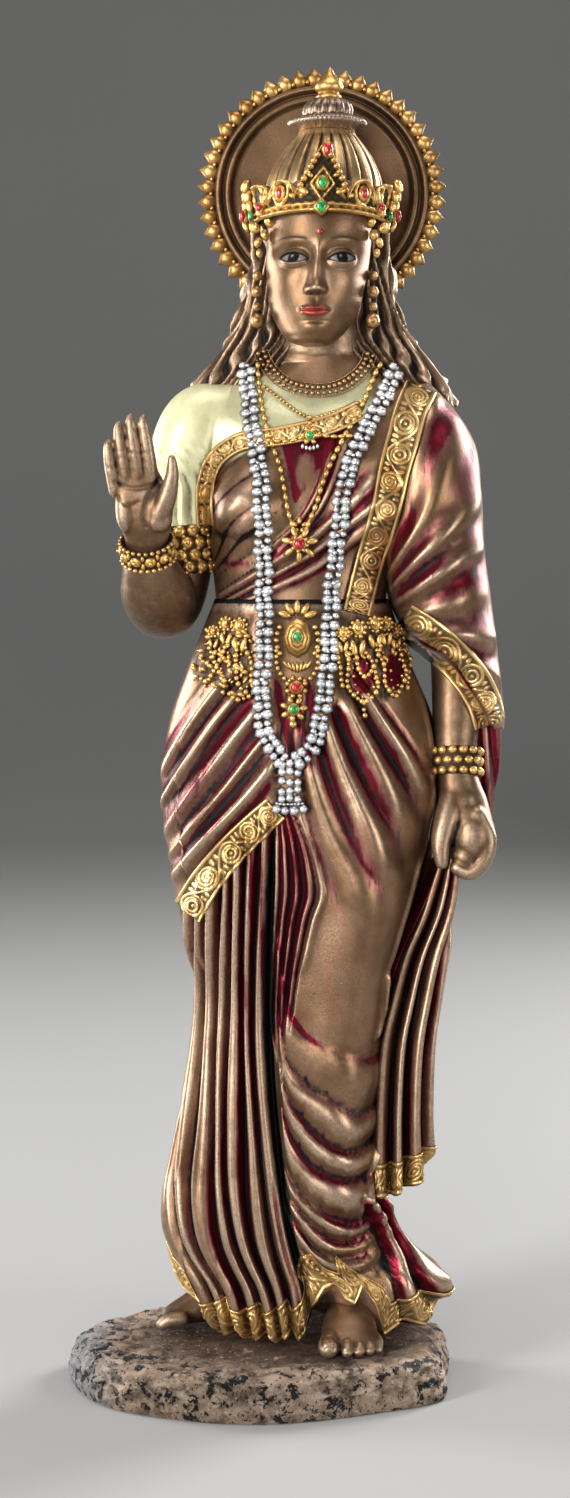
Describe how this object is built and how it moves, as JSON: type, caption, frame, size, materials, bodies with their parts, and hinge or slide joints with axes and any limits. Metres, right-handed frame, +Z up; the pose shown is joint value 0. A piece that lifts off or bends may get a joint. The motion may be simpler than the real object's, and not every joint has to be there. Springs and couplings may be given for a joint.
{
  "type": "goddess figurine",
  "caption": "Standing draped goddess figurine with a raised hand, tall crown, petalled halo and rock plinth, in painted cold-cast bronze.",
  "frame": {"origin": "centre of the plinth's underside", "axes": "+Z up along the standing figure, front towards -Y, +X to the figure's left hand"},
  "size_m": [0.0861, 0.0562, 0.2559],
  "materials": {
    "figure_bronze": "cold-cast bronze, satin, with a dark antique wash and maroon, gold and silver paint",
    "halo_bronze": "cold-cast bronze with gold paint on the petals and rims",
    "plinth_rock": "rough cast resin rock with a bronze wash"
  },
  "bodies": {
    "root": {"figure": "figure_bronze", "halo": "halo_bronze", "plinth": "plinth_rock"}
  },
  "joints": []
}
